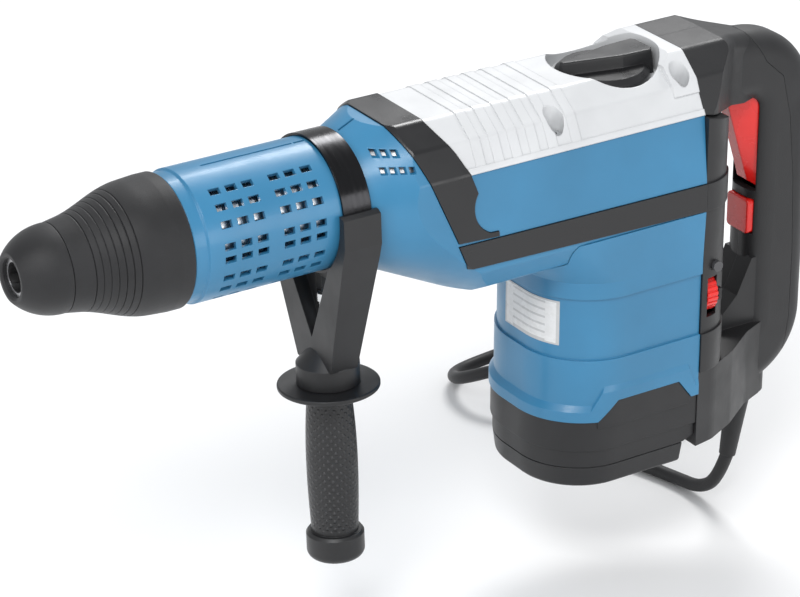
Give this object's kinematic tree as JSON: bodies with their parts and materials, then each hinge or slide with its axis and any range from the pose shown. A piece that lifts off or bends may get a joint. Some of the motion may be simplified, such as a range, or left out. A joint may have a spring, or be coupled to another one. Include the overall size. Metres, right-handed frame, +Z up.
{
  "type": "electric rotary demolition hammer",
  "caption": "Corded rotary and demolition hammer with a side handle clamp, D handle, twist locking chuck, crank driven hammer mechanism and motor in a lower housing.",
  "frame": {"origin": "centre of the tool bore's mouth", "axes": "+X along the tool axis towards the rear handle, +Z up, -Y the operator's left side, where the side handle's clamp leans"},
  "size_m": [0.616, 0.3277, 0.3565],
  "materials": {
    "black_rubber": "satin",
    "hard_steel": "ground",
    "black_plastic": "fine grain",
    "spring_steel": "drawn",
    "gear_steel": "machined",
    "bearing_steel": "polished",
    "aluminium": "cast and machined",
    "laminated_iron": "laminated",
    "copper": "drawn copper",
    "carbon": "sintered graphite",
    "blue_plastic": "satin",
    "trim_plastic": "satin",
    "white_plastic": "satin",
    "screw_steel": "zinc plated",
    "label_white": "printed film",
    "red_plastic": "gloss",
    "lamp_lens": "smoked",
    "cord_rubber": "matt",
    "strap_steel": "black oxide, polished",
    "grip_plastic": "dotted grip"
  },
  "bodies": {
    "housing": {"spindle_bearings": "bearing_steel", "gear_bearings": "bearing_steel", "armature_bearings": "bearing_steel", "stator": "laminated_iron", "field_coils": "copper", "brush_holders": "copper", "carbon_brushes": "carbon", "front_collar": "blue_plastic", "gearbox_barrel": "aluminium", "gearbox_casting": "aluminium", "bearing_plate": "aluminium", "gear_shell": "blue_plastic", "front_band": "trim_plastic", "top_cover": "white_plastic", "cover_screws": "screw_steel", "side_strips": "trim_plastic", "motor_housing": "blue_plastic", "rating_label": "label_white", "base_cap": "black_plastic", "rear_cover": "black_plastic", "service_lamp": "lamp_lens", "handle_left": "black_plastic", "handle_right": "black_plastic", "handle_soft_grip": "black_rubber", "switch_module": "black_plastic", "cord_sleeve": "cord_rubber", "cord_tube": "cord_rubber", "cord_coil": "cord_rubber", "plug": "cord_rubber"},
    "spindle": {"dust_cap": "black_rubber", "tool_holder": "hard_steel", "hammer_tube": "hard_steel", "bevel_ring_gear": "gear_steel"},
    "sleeve": {"locking_sleeve": "black_plastic", "sleeve_spring": "spring_steel"},
    "pin_upper": {"locking_pin_upper": "hard_steel"},
    "pin_lower": {"locking_pin_lower": "hard_steel"},
    "bolt": {"impact_bolt": "hard_steel"},
    "striker": {"striker": "hard_steel"},
    "piston": {"piston": "aluminium", "wrist_pin": "hard_steel", "connecting_rod": "aluminium"},
    "crank": {"crankshaft": "gear_steel", "crank_gear": "gear_steel"},
    "bevel_shaft": {"bevel_pinion_shaft": "gear_steel", "bevel_spur_gear": "gear_steel"},
    "armature": {"armature_shaft": "gear_steel", "armature_core": "laminated_iron", "commutator": "copper", "cooling_fan": "black_plastic"},
    "selector": {"selector_knob": "trim_plastic", "selector_shaft": "hard_steel"},
    "dial": {"speed_dial": "red_plastic"},
    "trigger": {"trigger": "red_plastic"},
    "lock": {"lock_button": "red_plastic"},
    "side_mount": {"clamp_strap": "strap_steel", "side_bracket": "black_plastic"},
    "side_grip": {"guard_disc": "black_plastic", "side_grip": "grip_plastic", "clamp_bolt": "screw_steel"}
  },
  "joints": [
    {"name": "crank_spin", "type": "hinge", "parent": "housing", "child": "crank", "pos_m": [0.35575, 0, -0.05], "axis": [0, 0, 1], "continuous": true},
    {"name": "bevel_shaft_spin", "type": "hinge", "parent": "housing", "child": "bevel_shaft", "pos_m": [0.2995, 0, -0.05], "axis": [0, 0, 1], "continuous": true},
    {"name": "armature_spin", "type": "hinge", "parent": "housing", "child": "armature", "pos_m": [0.392, 0, -0.12], "axis": [0, 0, 1], "continuous": true},
    {"name": "spindle_spin", "type": "hinge", "parent": "housing", "child": "spindle", "pos_m": [0.1, 0, 0], "axis": [1, 0, 0], "continuous": true},
    {"name": "sleeve_slide", "type": "slide", "parent": "spindle", "child": "sleeve", "axis": [1, 0, 0], "range_m": [0, 0.0075], "stiffness_N_per_m": 2500, "springref_m": -0.004, "deforming": ["sleeve_spring"]},
    {"name": "upper_pin_slide", "type": "slide", "parent": "spindle", "child": "pin_upper", "axis": [0, 0, 1], "range_m": [0, 0.00225]},
    {"name": "lower_pin_slide", "type": "slide", "parent": "spindle", "child": "pin_lower", "axis": [0, 0, -1], "range_m": [0, 0.00225]},
    {"name": "bolt_slide", "type": "slide", "parent": "spindle", "child": "bolt", "axis": [1, 0, 0], "range_m": [-0.002, 0.01]},
    {"name": "striker_slide", "type": "slide", "parent": "spindle", "child": "striker", "axis": [1, 0, 0], "range_m": [-0.012, 0.01]},
    {"name": "piston_slide", "type": "slide", "parent": "housing", "child": "piston", "axis": [1, 0, 0], "range_m": [-0.03, 0]},
    {"name": "selector_turn", "type": "hinge", "parent": "housing", "child": "selector", "pos_m": [0.405, 0, 0.035], "axis": [0, 0, 1], "range_deg": [-90, 0]},
    {"name": "speed_dial_turn", "type": "hinge", "parent": "housing", "child": "dial", "pos_m": [0.456, -0.0419, -0.107], "axis": [1, 0, 0], "range_deg": [-135, 135]},
    {"name": "trigger_pull", "type": "hinge", "parent": "housing", "child": "trigger", "pos_m": [0.528, 0, -0.06], "axis": [0, 1, 0], "range_deg": [0, 9], "stiffness_Nm_per_rad": 1.2, "springref_deg": -6.88},
    {"name": "lock_button_press", "type": "slide", "parent": "housing", "child": "lock", "axis": [1, 0, 0], "range_m": [0, 0.003], "stiffness_N_per_m": 900, "springref_m": -0.002},
    {"name": "side_handle_swing", "type": "hinge", "parent": "housing", "child": "side_mount", "pos_m": [0.2015, 0, 0], "axis": [1, 0, 0], "continuous": true},
    {"name": "side_grip_turn", "type": "hinge", "parent": "side_mount", "child": "side_grip", "pos_m": [0.2015, -0.00733, -0.11978], "axis": [0, 0.061, 0.9981], "continuous": true}
  ],
  "couplings": [
    {"joint": "bevel_shaft_spin", "follows": "crank_spin", "ratio": -1.25},
    {"joint": "armature_spin", "follows": "crank_spin", "ratio": -6.25},
    {"joint": "spindle_spin", "follows": "crank_spin", "ratio": 0.36585},
    {"joint": "upper_pin_slide", "follows": "sleeve_slide", "ratio": 0.3},
    {"joint": "lower_pin_slide", "follows": "sleeve_slide", "ratio": 0.3}
  ]
}
